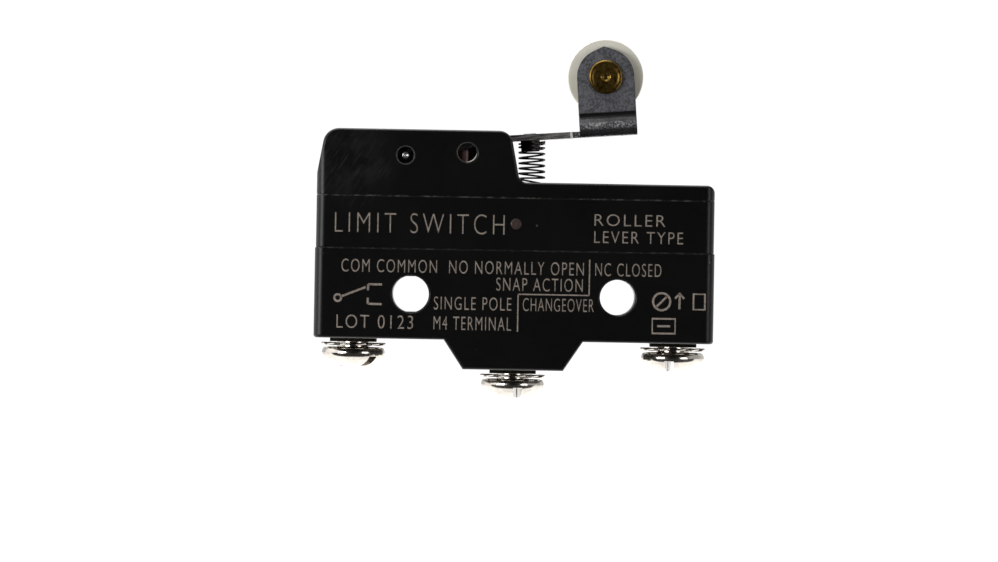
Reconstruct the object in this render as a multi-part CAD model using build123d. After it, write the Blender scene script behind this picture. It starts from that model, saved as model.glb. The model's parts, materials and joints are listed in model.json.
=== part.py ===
"""Limit switch with a hinged roller lever: every piece in its own STEP file, in millimetres.

Frame: the origin is midway between the two mounting holes, at half the body's thickness.
+X runs along the body towards the roller, +Y through its thickness away from the printed face,
and +Z up towards the roller. The lever is drawn at rest, which is its free position.
"""
import os
from math import cos, radians, sqrt, tan

from build123d import *

# --- body, driving dimensions -------------------------------------------------
case_length = 49.0          # lower case, along X
case_thickness = 17.45      # along Y
upper_step_in = 0.1         # the two upper mouldings are this much shorter at each end
case_bottom_z = -5.53
nose_bottom_z = -9.12       # underside of the central nose that carries the middle terminal
nose_top_half = 8.53
nose_bottom_half = 6.15
base_seam_z = 5.54          # joint between case_base and case_middle
middle_seam_z = 12.0        # joint between case_middle and actuator_housing
ledge_z = 13.92             # top of the low right half of the actuator housing
housing_top_z = 20.2
end_corner_r = 1.05         # upright corners at the two ends of the body
face_edge_r = 0.35          # edges round the front and back faces
seam_edge_r = 0.1           # the slight rounding where the mouldings meet

# --- raised part of the actuator housing -------------------------------------
hood_left_lean = 0.99       # how far its left side leans in at the top
hood_left_bend_z = 14.67    # below this height it is upright
hood_right_top_x = -0.73
hood_right_foot_x = 0.48
hood_left_r = 2.0
hood_right_r = 1.75
hood_foot_r = 1.0
ledge_end_r = 1.0

# --- mounting holes ------------------------------------------------------------
hole_pitch = 25.4
hole_r = 2.18
left_hole_extra = 0.08      # the left hole is larger, with a flat at its top and bottom
boss_wall = 1.77            # least wall round a hole, which sets the chamber's floor
hole_edge = 0.15            # chamfer at the mouths of the holes

# --- inside of the mouldings ---------------------------------------------------
side_wall = 1.52            # front and back walls
end_wall = 1.96
top_wall = 1.4              # top wall of case_middle
lip_width = 0.5             # the lip on case_base that keys into case_middle
lip_height = 0.6
lip_gap = 0.05
peg_r = 1.0                 # pegs under the actuator housing
peg_length = 0.9
peg_x = 19.0
peg_gap = 0.05

# --- terminals -----------------------------------------------------------------
block_width = 5.7
block_depth = 9.0
block_height = 2.4
block_proud = 0.45          # how far each block stands below the moulding
block_gap = 0.02
strip_t = 0.8
strip_half = 3.0            # half the strip's width, along Y
strip_gap = 0.1
screw_r = 1.98              # M4, drawn as a plain shank
thread_r = 2.0
screw_length = 5.6
head_r = 3.9
head_rim = 1.25             # height of the upright rim of the head
head_height = 2.35
slot_width = 1.15
slot_depth = 1.2
cross_width = 1.05
cross_span = 5.0
screw_turns = (-50.0, 100.0, 83.0)    # how far each screw happened to be turned, degrees
washer_zone = 0.65
washer_in_r = 2.15
washer_ring_r = 3.05
washer_ring_t = 0.36
washer_out_r = 4.0
tooth_count = 14
tooth_width = 0.9
tooth_t = 0.3
tooth_twist = 15.0

# --- contacts and blade ----------------------------------------------------------
blade_t = 0.2
blade_half = 3.0
blade_tip_x = 16.9
contact_x = 15.0
hinge_edge_x = -16.6        # right edge of the tab: the blade bends here
bend_gap = 0.02             # from that edge to the part of the blade that moves
blade_gap = 0.05
window_half = 1.8
window_right_x = 8.0
leaf_half = 1.4
leaf_tip_x = -3.5
clamp_t = 0.6
clamp_rivet_r = 0.9
contact_r = 1.5
moving_contact_r = 1.3
contact_rivet_r = 0.7
moving_head = 0.75
contact_strip_t = 0.7
no_strip_lift = 0.35        # from the chamber's floor up to the strip of the open contact
no_head = 0.6
nc_head = 0.63
contact_open_gap = 0.55     # between the open contact and the moving one, at rest
contact_rest_gap = 0.02     # between the closed contact and the moving one
tongue_t = 0.15
tongue_half = 1.2
tongue_foot_drop = 1.15     # how far its foot is below the blade
tongue_rise = 1.75
tongue_foot_gap = 0.45      # between its foot and the post
post_x = -1.75
post_t = 0.6
post_above_foot = 0.55
post_half = 1.3
post_foot_x = -6.0
post_foot_t = 0.6
notch_depth = 0.25
notch_half = 0.3

# --- plunger ---------------------------------------------------------------------
plunger_x = -7.4
plunger_r = 1.5
plunger_dome_r = 2.0        # its top and its foot are both domed
plunger_end_gap = 0.02      # between its foot and the leaf
plunger_top_gap = 0.05      # between its top and the lever
plunger_flange_out = 0.7    # how far its flange stands out
plunger_flange_lift = 1.5   # from the blade up to the flange
plunger_flange_t = 0.8
plunger_gap = 0.06          # radial gap in case_middle, where the plunger is guided
plunger_free_gap = 0.25     # radial gap in the actuator housing
collar_wall = 0.95
collar_height = 1.38

# --- hinge pin and lever -----------------------------------------------------------
pivot_x = -13.58
pivot_z = 17.0
pin_r = 0.95
pin_recess = 0.45           # how far the pin's ends sit inside the faces
pin_bore_gap = 0.01
pin_mouth_extra = 0.15
pin_mouth_depth = 0.5
lever_pin_gap = 0.06
side_hole_x = -6.02         # through the front wall only
side_hole_z = 17.46
side_hole_r = 1.2
rest_tilt = 4.23            # degrees that the lever rises to the right at rest
lever_t = 0.74
lever_half = 4.0
lever_under = 1.02          # from the pivot up to the lever's underside
tail_u = -2.2
heel_w = -0.6
hub_wall = 0.74
flange_end_u = 9.6
flange_low_u = 1.3
flange_low_w = -1.25
slot_gap = 0.4              # between the lever's flanges and the slot's walls
slot_left_x = -16.1
slot_roof_t = 0.7
slot_open_x = -11.5
heel_stop_right_x = -15.35
heel_stop_gap = 0.02

# --- roller and its bracket ----------------------------------------------------------
axle_u = 25.06
axle_w = 8.27
ear_half = 3.52
ear_top = 3.79              # from the axle up to the tip of the ears
ear_gap_half = 2.7          # half the gap between the ears
ear_bulge = 0.5             # how far the bends stand outside the ears
bend_r = 1.42
bend_top_w = 2.6
waist_w = 3.55              # the ears are pinched in a little here, above the bends
waist_depth = 0.12
crease_w = 3.98
relief_width = 0.9
relief_corner_r = 0.5
relief_depth = 1.4
axle_r = 1.5
axle_head_r = 2.1
axle_head_t = 0.55
axle_dimple_r = 0.6
axle_dimple_depth = 0.35
roller_r = 4.64
roller_width = 4.8
roller_gap = 0.05           # running gap on the axle
roller_edge = 0.3

# --- return spring ---------------------------------------------------------------------
spring_x = 1.9
spring_outer_r = 1.68
spring_wire = 0.24
spring_turns = 9.0
spring_pocket_gap = 0.32    # round the spring
spring_floor_t = 0.65       # what is left of the housing under the spring
spring_end_gap = 0.03
seat_gap = 0.26             # between the seat's plug and the inside of the coils
seat_shift = 0.15           # the seat is this far to the left of the coils' middle
seat_height = 1.38
seat_shank_r = 0.7

# --- worked out -------------------------------------------------------------------------
half_length = case_length / 2
half_thick = case_thickness / 2
upper_half = half_length - upper_step_in
hood_left_top_x = -upper_half + hood_left_lean
cavity_half_x = half_length - end_wall
cavity_half_y = half_thick - side_wall
slot_half = lever_half + slot_gap
slot_roof_z = housing_top_z - slot_roof_t
lever_over = lever_under + lever_t
hub_r = pin_r + lever_pin_gap + hub_wall
ceiling_z = middle_seam_z - top_wall
chamber_floor_z = hole_r + boss_wall
terminal_x = cavity_half_x - block_gap - block_width / 2     # both outer terminals' distance
strip_out_x = terminal_x + block_width / 2
no_strip_z = chamber_floor_z + no_strip_lift
no_face_z = no_strip_z + contact_strip_t + no_head
tab_top_z = no_face_z + contact_open_gap + moving_head       # where the blade is clamped
blade_z = tab_top_z + blade_t
nc_face_z = blade_z + moving_head + contact_rest_gap
nc_strip_z = nc_face_z + nc_head
clamp_rivet_x = (-strip_out_x + strip_t + hinge_edge_x) / 2
tongue_foot_x = post_x + post_t + tongue_foot_gap
tongue_foot_z = tab_top_z - tongue_foot_drop
spring_pocket_r = spring_outer_r + spring_pocket_gap
spring_pocket_z = middle_seam_z + spring_floor_t
seat_r = spring_outer_r - spring_wire - seat_gap
collar_r = plunger_r + plunger_free_gap + collar_wall
collar_top_z = ledge_z + collar_height
beyond = 2.0                # how far cutting tools run past what they cut
lever_place = Pos(pivot_x, 0, pivot_z) * Rot(0, -rest_tilt, 0)


# --- helpers ------------------------------------------------------------------------------
def block(x0, x1, y0, y1, z0, z1):
    """A box between two opposite corners."""
    size = (x1 - x0, y1 - y0, z1 - z0)
    return Pos((x0 + x1) / 2, (y0 + y1) / 2, (z0 + z1) / 2) * Box(*size)


def rod_y(x, z, r, y0, y1):
    """A cylinder along Y."""
    return Pos(x, (y0 + y1) / 2, z) * Rot(90, 0, 0) * Cylinder(r, y1 - y0)


def rod_z(x, r, z0, z1, y=0.0):
    """A cylinder along Z."""
    return Pos(x, y, (z0 + z1) / 2) * Cylinder(r, z1 - z0)


def slab(points, half_width, radii=None):
    """An outline in X and Z, given as corners with a radius each, made thick both ways along Y."""
    corners = [(x, 0, z) for x, z in points]
    radii = radii or [0] * len(points)
    outline = make_face(FilletPolyline(*corners, radius=radii, close=True))
    return extrude(outline, amount=half_width, both=True)


def turned(points, x=0.0, y=0.0):
    """A profile of radius and height turned about an upright axis."""
    outline = make_face(Polyline(*[(r, 0, z) for r, z in points], close=True))
    return Pos(x, y, 0) * revolve(outline, Axis.Z)


def plan(half_x, half_y, corner_r, z0, z1):
    """An upright column with rounded corners, for the outside of the mouldings."""
    outline = RectangleRounded(2 * half_x, 2 * half_y, corner_r)
    return Pos(0, 0, z0) * extrude(outline, amount=z1 - z0)


def edges_on_faces(solid, z_low, z_high):
    """The edges of the front and back faces that lie wholly between two heights."""
    chosen = []
    for edge in solid.edges():
        box = edge.bounding_box()
        flat_on = box.max.Y - box.min.Y < 1e-3
        on_face = flat_on and abs(box.max.Y) > half_thick - 1e-3
        if on_face and box.min.Z > z_low - 1e-3 and box.max.Z < z_high + 1e-3:
            chosen.append(edge)
    return chosen


def edges_at_height(solid, z):
    """The edges that lie level at one height."""
    return [edge for edge in solid.edges() if level_at(edge, z)]


def level_at(edge, z):
    """Whether an edge lies level at that height."""
    box = edge.bounding_box()
    return abs(box.min.Z - z) < 1e-3 and abs(box.max.Z - z) < 1e-3


# --- mouldings --------------------------------------------------------------------------------
def base_outline():
    """Corners of the lower case, anticlockwise from its top left."""
    return [
        (-half_length, base_seam_z),
        (-half_length, case_bottom_z),
        (-nose_top_half, case_bottom_z),
        (-nose_bottom_half, nose_bottom_z),
        (nose_bottom_half, nose_bottom_z),
        (nose_top_half, case_bottom_z),
        (half_length, case_bottom_z),
        (half_length, base_seam_z),
    ]


def hole_mouth(x, z, r, side):
    """The chamfer where a hole meets the front or the back face."""
    flare = Cone(r, r + hole_edge, hole_edge)
    middle = side * (half_thick - hole_edge / 2)
    return Pos(x, middle, z) * Rot(-90 * side, 0, 0) * flare


def left_hole(half_width):
    """The left mounting hole: a circle with flats above and below."""
    circle = rod_y(-hole_pitch / 2, 0, hole_r + left_hole_extra, -half_width, half_width)
    band = block(-hole_pitch, 0, -half_width, half_width, -hole_r, hole_r)
    return circle & band


def terminal_recess(x, z_face, strip_side):
    """The opening for a terminal block, and the narrower shaft for its strip and screw tip."""
    half_block = block_width / 2 + block_gap
    half_deep = block_depth / 2 + block_gap
    z_shoulder = z_face - block_proud + block_height + block_gap
    seat = block(x - half_block, x + half_block, -half_deep, half_deep, z_face - beyond, z_shoulder)
    near = x - strip_side * (screw_r + strip_gap)
    far = x + strip_side * half_block
    shaft_half = strip_half + strip_gap
    shaft = block(min(near, far), max(near, far), -shaft_half, shaft_half, z_face, chamber_floor_z + beyond)
    return seat + shaft


def make_case_base():
    solid = slab(base_outline(), half_thick)
    solid &= plan(half_length, half_thick, end_corner_r, nose_bottom_z - beyond, base_seam_z + beyond)
    solid = fillet(edges_on_faces(solid, nose_bottom_z, case_bottom_z), face_edge_r)
    solid = fillet(edges_at_height(solid, base_seam_z), seam_edge_r)
    lip = block(
        -cavity_half_x - lip_width, cavity_half_x + lip_width,
        -cavity_half_y - lip_width, cavity_half_y + lip_width,
        base_seam_z - lip_height, base_seam_z + lip_height,
    )
    solid += lip
    solid -= block(
        -cavity_half_x, cavity_half_x, -cavity_half_y, cavity_half_y,
        chamber_floor_z, base_seam_z + beyond,
    )
    solid -= terminal_recess(-terminal_x, case_bottom_z, -1)
    solid -= terminal_recess(0, nose_bottom_z, 1)
    solid -= terminal_recess(terminal_x, case_bottom_z, 1)
    solid -= left_hole(half_thick + beyond)
    solid -= rod_y(hole_pitch / 2, 0, hole_r, -half_thick - beyond, half_thick + beyond)
    for side in (-1, 1):
        solid -= hole_mouth(hole_pitch / 2, 0, hole_r, side)
        solid -= hole_mouth(-hole_pitch / 2, 0, hole_r + left_hole_extra, side)
    return solid


def make_case_middle():
    solid = plan(upper_half, half_thick, end_corner_r, base_seam_z, middle_seam_z)
    solid = fillet(edges_at_height(solid, base_seam_z), seam_edge_r)
    solid = fillet(edges_at_height(solid, middle_seam_z), seam_edge_r)
    solid -= block(
        -cavity_half_x, cavity_half_x, -cavity_half_y, cavity_half_y,
        base_seam_z - beyond, ceiling_z,
    )
    rebate = lip_width + lip_gap
    solid -= block(
        -cavity_half_x - rebate, cavity_half_x + rebate,
        -cavity_half_y - rebate, cavity_half_y + rebate,
        base_seam_z - beyond, base_seam_z + lip_height + lip_gap,
    )
    solid -= rod_z(plunger_x, plunger_r + plunger_gap, ceiling_z - beyond, middle_seam_z + beyond)
    for side in (-1, 1):
        hole_floor = middle_seam_z - peg_length - peg_gap
        solid -= rod_z(side * peg_x, peg_r + peg_gap, hole_floor, middle_seam_z + beyond)
    return solid


def housing_outline():
    """Corners of the actuator housing with the radius of each, from its lower left."""
    return [
        (-upper_half, middle_seam_z, 0),
        (upper_half, middle_seam_z, 0),
        (upper_half, ledge_z, ledge_end_r),
        (hood_right_foot_x, ledge_z, hood_foot_r),
        (hood_right_top_x, housing_top_z, hood_right_r),
        (hood_left_top_x, housing_top_z, hood_left_r),
        (-upper_half, hood_left_bend_z, 0),
    ]


def lever_slot():
    """The slot that the lever swings in: roofed at its left, open above and to the right."""
    right = hood_right_foot_x + beyond
    under_roof = block(slot_left_x, right, -slot_half, slot_half, ledge_z, slot_roof_z)
    open_part = block(slot_open_x, right, -slot_half, slot_half, ledge_z, housing_top_z + beyond)
    return under_roof + open_part


def make_actuator_housing():
    corners = housing_outline()
    solid = slab([(x, z) for x, z, _ in corners], half_thick, [r for _, _, r in corners])
    solid = fillet(edges_on_faces(solid, middle_seam_z + seam_edge_r, housing_top_z), face_edge_r)
    solid &= plan(upper_half, half_thick, end_corner_r, middle_seam_z - beyond, housing_top_z + beyond)
    solid = fillet(edges_at_height(solid, middle_seam_z), seam_edge_r)
    solid -= lever_slot()
    collar = rod_z(plunger_x, collar_r, ledge_z - 1, collar_top_z)
    stop_top = height_on_lever(tail_u, heel_w) - heel_stop_gap
    stop = block(slot_left_x - 1, heel_stop_right_x, -slot_half, slot_half, ledge_z - 1, stop_top)
    solid += collar
    solid += stop
    free_r = plunger_r + plunger_free_gap
    solid -= rod_z(plunger_x, free_r, middle_seam_z - beyond, collar_top_z + beyond)
    solid -= rod_z(spring_x, spring_pocket_r, spring_pocket_z, ledge_z + beyond)
    solid -= rod_y(pivot_x, pivot_z, pin_r + pin_bore_gap, -half_thick - beyond, half_thick + beyond)
    solid -= rod_y(side_hole_x, side_hole_z, side_hole_r, -half_thick - beyond, 0)
    solid -= hole_mouth(side_hole_x, side_hole_z, side_hole_r, -1)
    for side in (-1, 1):
        face = side * half_thick
        mouth = sorted((face - side * pin_mouth_depth, face + side * beyond))
        solid -= rod_y(pivot_x, pivot_z, pin_r + pin_mouth_extra, mouth[0], mouth[1])
        solid += rod_z(side * peg_x, peg_r, middle_seam_z - peg_length, middle_seam_z + 1)
    return solid


# --- lever, drawn flat with its pivot at the origin, then placed ---------------------------------
def height_on_lever(u, w):
    """Height, with the lever at rest, of a point u along it from the pivot and w above."""
    return pivot_z + Vector(u, 0, w).rotate(Axis.Y, -rest_tilt).Z


def ear_outline():
    """The ears' shape seen from the side: upright sides, a round top and a small pointed tip."""
    left = axle_u - ear_half
    right = axle_u + ear_half
    columns = block(left, right, -lever_half, lever_half, lever_under, axle_w)
    arch = rod_y(axle_u, axle_w, ear_half, -lever_half, lever_half)
    rise = ear_half**2 / ear_top
    side = sqrt(ear_half**2 - rise**2)
    tip_points = [
        (axle_u, axle_w),
        (axle_u + side, axle_w + rise),
        (axle_u, axle_w + ear_top),
        (axle_u - side, axle_w + rise),
    ]
    return columns + arch + slab(tip_points, lever_half)


def bracket_section():
    """One side of the bracket, seen along the lever: floor, bend, waist, crease and ear."""
    ear_out = ear_gap_half + lever_t
    out = ear_out + ear_bulge
    waist = ear_out - waist_depth
    inside = lever_t * 0.32
    top = axle_w + ear_top + 1
    points = [
        (0, lever_under),
        (out, lever_under),
        (out, bend_top_w),
        (waist, waist_w),
        (ear_out, crease_w),
        (ear_out, top),
        (ear_gap_half, top),
        (ear_gap_half, crease_w - inside / 2),
        (waist - lever_t, waist_w - inside),
        (out - lever_t, bend_top_w - inside),
        (out - lever_t, lever_over),
        (0, lever_over),
    ]
    radii = [0, bend_r, 0.25, 0.3, 0.08, 0, 0, 0.2, 0.2, 0.15, 0.4, 0]
    corners = [(0, y, w) for y, w in points]
    return make_face(FilletPolyline(*corners, radius=radii, close=True))


def make_bracket():
    left = axle_u - ear_half
    half = Pos(left, 0, 0) * extrude(bracket_section(), amount=2 * ear_half, dir=(1, 0, 0))
    both = half + mirror(half, about=Plane.XZ)
    shaped = both & ear_outline()
    return shaped - rod_y(axle_u, axle_w, axle_r, -lever_half, lever_half)


def relief(left, side):
    """The notch beside a bend, with the strip's corner rounded where it meets the notch."""
    low = lever_under - 1
    high = lever_over + 1
    edge = sorted((side * (lever_half - relief_depth), side * (lever_half + 1)))
    notch = block(left - relief_width, left, edge[0], edge[1], low, high)
    corner_x = left - relief_width - relief_corner_r
    corner_y = side * (lever_half - relief_corner_r)
    edge = sorted((corner_y, side * (lever_half + 1)))
    corner = block(corner_x, left - relief_width, edge[0], edge[1], low, high)
    return notch + (corner - rod_z(corner_x, relief_corner_r, low - 1, high + 1, y=corner_y))


def make_lever():
    strip_end = axle_u
    strip = block(tail_u, strip_end, -lever_half, lever_half, lever_under, lever_over)
    left = axle_u - ear_half
    strip -= block(left, strip_end + 1, -lever_half - 1, lever_half + 1, lever_under - 1, lever_over + 1)
    flange_points = [
        (tail_u, lever_over),
        (tail_u, heel_w),
        (tail_u / 2, heel_w),
        (flange_low_u, flange_low_w),
        (flange_end_u, lever_under),
        (flange_end_u, lever_over),
    ]
    flange = slab(flange_points, lever_half) + rod_y(0, 0, hub_r, -lever_half, lever_half)
    inner = lever_half - lever_t
    flange -= block(
        tail_u - 1, flange_end_u + 1, -inner, inner, -hub_r - 1, lever_over + 1,
    )
    solid = strip + flange + make_bracket()
    for side in (-1, 1):
        solid -= relief(left, side)
    solid -= rod_y(0, 0, pin_r + lever_pin_gap, -lever_half - 1, lever_half + 1)
    solid -= rod_z(seat_u(), seat_shank_r, lever_under - 1, lever_over + 1)
    return lever_place * solid


def lever_underside_at(x):
    """Height of the lever's underside over a point along the body, with the lever at rest."""
    tilt = radians(rest_tilt)
    return pivot_z + (x - pivot_x) * tan(tilt) + lever_under / cos(tilt)


def seat_u():
    """Place of the spring seat along the lever: over the spring's axis at rest."""
    below = Vector(spring_x - pivot_x, 0, 0).rotate(Axis.Y, rest_tilt)
    rise = Vector(0, 0, lever_under).rotate(Axis.Y, -rest_tilt)
    return below.X - rise.X - seat_shift


def make_spring_seat():
    head_t = 0.12
    profile = [
        (0, lever_under - seat_height),
        (seat_r - 0.15, lever_under - seat_height),
        (seat_r, lever_under - seat_height + 0.15),
        (seat_r, lever_under),
        (seat_shank_r, lever_under),
        (seat_shank_r, lever_over),
        (seat_shank_r + 0.2, lever_over),
        (seat_shank_r, lever_over + head_t),
        (0, lever_over + head_t),
    ]
    return lever_place * turned(profile, x=seat_u())


def make_roller():
    half = roller_width / 2
    bore = axle_r + roller_gap
    profile = [
        (bore, -half),
        (roller_r - roller_edge, -half),
        (roller_r, -half + roller_edge),
        (roller_r, half - roller_edge),
        (roller_r - roller_edge, half),
        (bore, half),
    ]
    wheel = turned(profile)
    return lever_place * Pos(axle_u, 0, axle_w) * Rot(90, 0, 0) * wheel


def make_roller_axle():
    face = ear_gap_half + lever_t
    rim = face + axle_head_t
    crown = rim - 0.15
    profile = [
        (0, -rim + axle_dimple_depth),
        (axle_dimple_r * 0.6, -rim + axle_dimple_depth),
        (axle_dimple_r, -rim),
        (axle_head_r - 0.35, -crown - 0.05),
        (axle_head_r, -face - 0.2),
        (axle_head_r, -face),
        (axle_r, -face),
        (axle_r, face),
        (axle_head_r, face),
        (axle_head_r, face + 0.2),
        (axle_head_r - 0.35, crown + 0.05),
        (axle_dimple_r, rim),
        (axle_dimple_r * 0.6, rim - axle_dimple_depth),
        (0, rim - axle_dimple_depth),
    ]
    return lever_place * Pos(axle_u, 0, axle_w) * Rot(90, 0, 0) * turned(profile)


def make_hinge_pin():
    end = half_thick - pin_recess
    nose = 0.35
    profile = [
        (0, -end),
        (pin_r * 0.55, -end),
        (pin_r, -end + nose),
        (pin_r, end - nose),
        (pin_r * 0.55, end),
        (0, end),
    ]
    return Pos(pivot_x, 0, pivot_z) * Rot(90, 0, 0) * turned(profile)


def make_return_spring():
    low = spring_pocket_z + spring_wire / 2 + spring_end_gap
    high = height_on_lever(seat_u() - spring_outer_r, lever_under) - spring_wire / 2 - spring_end_gap
    coil_r = spring_outer_r - spring_wire / 2
    path = Helix(pitch=(high - low) / spring_turns, height=high - low, radius=coil_r)
    section = (path ^ 0) * Circle(spring_wire / 2)
    return Pos(spring_x, 0, low) * sweep(section, path=path, is_frenet=True)


# --- plunger ----------------------------------------------------------------------------------------
def plunger_top():
    """Height of the plunger's domed top, which stands just clear of the lever's underside."""
    return lever_underside_at(plunger_x) - plunger_top_gap


def make_plunger():
    foot = blade_z + plunger_end_gap
    stem = rod_z(plunger_x, plunger_r, foot, plunger_top())
    dome_centre = plunger_top() - plunger_dome_r
    foot_centre = foot + plunger_dome_r
    stem &= (
        Pos(plunger_x, 0, dome_centre) * Sphere(plunger_dome_r)
        + Pos(plunger_x, 0, foot_centre) * Sphere(plunger_dome_r)
        + rod_z(plunger_x, plunger_r, foot_centre, dome_centre)
    )
    flange_low = blade_z + plunger_flange_lift
    flange_r = plunger_r + plunger_flange_out
    return stem + rod_z(plunger_x, flange_r, flange_low, flange_low + plunger_flange_t)


# --- terminals and fixed contacts ---------------------------------------------------------------------
def terminal_block(x, z_face):
    """A threaded block that stands a little below the moulding."""
    low = z_face - block_proud
    half_w = block_width / 2
    half_d = block_depth / 2
    solid = block(x - half_w, x + half_w, -half_d, half_d, low, low + block_height)
    return solid - rod_z(x, thread_r, low - beyond, low + block_height + beyond)


def make_terminal_com():
    top = case_bottom_z - block_proud + block_height
    solid = terminal_block(-terminal_x, case_bottom_z)
    solid += block(-strip_out_x, -strip_out_x + strip_t, -strip_half, strip_half, top - 1, tab_top_z)
    tab = block(-strip_out_x, hinge_edge_x, -strip_half, strip_half, tab_top_z - strip_t, tab_top_z)
    return solid + tab - clamp_rivet(clamp_rivet_r)


def make_terminal_no():
    low = nose_bottom_z - block_proud
    strip_x = block_width / 2 - strip_t
    solid = terminal_block(0, nose_bottom_z)
    strip_top = no_strip_z + contact_strip_t
    solid += block(strip_x, strip_x + strip_t, -strip_half, strip_half, low + 1, strip_top)
    tip = contact_x + contact_r + 0.5
    solid += block(strip_x, tip, -strip_half, strip_half, no_strip_z, strip_top)
    return solid - rod_z(contact_x, contact_rivet_r, no_strip_z - 1, strip_top + 1)


def make_terminal_nc():
    top = case_bottom_z - block_proud + block_height
    solid = terminal_block(terminal_x, case_bottom_z)
    strip_top = nc_strip_z + contact_strip_t
    solid += block(strip_out_x - strip_t, strip_out_x, -strip_half, strip_half, top - 1, strip_top)
    tip = contact_x - contact_r - 0.5
    solid += block(tip, strip_out_x, -strip_half, strip_half, nc_strip_z, strip_top)
    return solid - rod_z(contact_x, contact_rivet_r, nc_strip_z - 1, strip_top + 1)


def make_no_contact():
    head_low = no_strip_z + contact_strip_t
    shank = rod_z(contact_x, contact_rivet_r, no_strip_z, head_low)
    return shank + rod_z(contact_x, contact_r, head_low, no_face_z)


def make_nc_contact():
    shank = rod_z(contact_x, contact_rivet_r, nc_strip_z, nc_strip_z + contact_strip_t)
    return shank + rod_z(contact_x, contact_r, nc_face_z, nc_strip_z)


def make_moving_contact():
    upper = rod_z(contact_x, moving_contact_r, blade_z, blade_z + moving_head)
    lower = rod_z(contact_x, moving_contact_r, tab_top_z - moving_head, tab_top_z)
    return upper + lower + rod_z(contact_x, contact_rivet_r, tab_top_z, blade_z)


# --- blade, leaf and tongue --------------------------------------------------------------------------
def clamp_rivet(r):
    """The rivet's shank through the tab, the blade's root and the clamp plate."""
    return rod_z(clamp_rivet_x, r, tab_top_z - strip_t, blade_z + clamp_t)


def make_blade_root():
    right = hinge_edge_x - blade_gap
    root = block(-strip_out_x + strip_t, right, -blade_half, blade_half, tab_top_z, blade_z)
    return root - clamp_rivet(clamp_rivet_r)


def make_clamp_plate():
    left = -strip_out_x + strip_t
    right = hinge_edge_x - blade_gap
    plate = block(left, right, -blade_half, blade_half, blade_z, blade_z + clamp_t)
    return plate - clamp_rivet(clamp_rivet_r)


def make_clamp_rivet():
    head_t = 0.5
    head_r = clamp_rivet_r + 0.6
    low = tab_top_z - strip_t
    solid = clamp_rivet(clamp_rivet_r)
    solid += rod_z(clamp_rivet_x, head_r, low - head_t, low)
    return solid + rod_z(clamp_rivet_x, head_r, blade_z + clamp_t, blade_z + clamp_t + head_t)


def make_contact_blade():
    bend_x = hinge_edge_x + bend_gap
    solid = block(bend_x, blade_tip_x, -blade_half, blade_half, tab_top_z, blade_z)
    window_left = hinge_edge_x + 1.5
    solid -= block(window_left, window_right_x, -window_half, window_half, tab_top_z - 1, blade_z + 1)
    root_gap = leaf_half + blade_gap
    solid -= block(hinge_edge_x - 1, window_left + 1, -root_gap, root_gap, tab_top_z - 1, blade_z + 1)
    return solid - rod_z(contact_x, contact_rivet_r, tab_top_z - 1, blade_z + 1)


def make_drive_leaf():
    return block(hinge_edge_x + bend_gap, leaf_tip_x, -leaf_half, leaf_half, tab_top_z, blade_z)


def make_snap_tongue():
    """A bowed strip from the post's notch up and over to the far edge of the blade's window."""
    start = (tongue_foot_x, 0, tongue_foot_z)
    end = (window_right_x, 0, tab_top_z + blade_t / 2)
    crown = ((tongue_foot_x + window_right_x) / 2, 0, (start[2] + end[2]) / 2 + tongue_rise)
    bow = ThreePointArc(start, crown, end)
    section = Plane(origin=bow @ 0, x_dir=(0, 1, 0), z_dir=bow % 0)
    strip = sweep(section * Rectangle(2 * tongue_half, tongue_t), path=bow)
    clear = block(window_right_x, blade_tip_x, -blade_half, blade_half, tab_top_z - 1, blade_z + 1)
    return strip - clear


def make_tongue_post():
    foot_top = chamber_floor_z + post_foot_t
    post_top = tongue_foot_z + post_above_foot
    post = block(post_x, post_x + post_t, -post_half, post_half, chamber_floor_z, post_top)
    foot = block(post_foot_x, post_x + post_t, -post_half, post_half, chamber_floor_z, foot_top)
    notch = block(
        post_x + post_t - notch_depth, post_x + post_t + 1, -post_half - 1, post_half + 1,
        tongue_foot_z - notch_half, tongue_foot_z + notch_half,
    )
    return post + foot - notch


# --- screws and washers ---------------------------------------------------------------------------------
def terminal_faces():
    """Where each terminal screw goes: its X and the height of its block's lower face."""
    return [
        (-terminal_x, case_bottom_z - block_proud),
        (0.0, nose_bottom_z - block_proud),
        (terminal_x, case_bottom_z - block_proud),
    ]


def terminal_screw(x, z_block, turn):
    """A pan-head screw, head down, with a slot and a cross recess."""
    z_head = z_block - washer_zone
    z_end = z_head - head_height
    profile = [
        (0, z_head + screw_length),
        (screw_r - 0.3, z_head + screw_length),
        (screw_r, z_head + screw_length - 0.3),
        (screw_r, z_head),
        (head_r, z_head),
        (head_r, z_head - head_rim),
    ]
    edge = Polyline(*[(r, 0, z) for r, z in profile])
    top = ThreePointArc(
        (head_r, 0, z_head - head_rim),
        (head_r * 0.72, 0, z_head - head_rim - (head_height - head_rim) * 0.75),
        (0, 0, z_end),
    )
    close = Line((0, 0, z_end), (0, 0, z_head + screw_length))
    solid = revolve(make_face(edge + top + close), Axis.Z)
    floor = z_end + slot_depth
    recess = block(-head_r - 1, head_r + 1, -slot_width / 2, slot_width / 2, z_end - 1, floor)
    half_span = cross_span / 2
    recess += block(-cross_width / 2, cross_width / 2, -half_span, half_span, z_end - 1, floor + 0.3)
    return Pos(x, 0, 0) * Rot(0, 0, turn) * (solid - recess)


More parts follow.
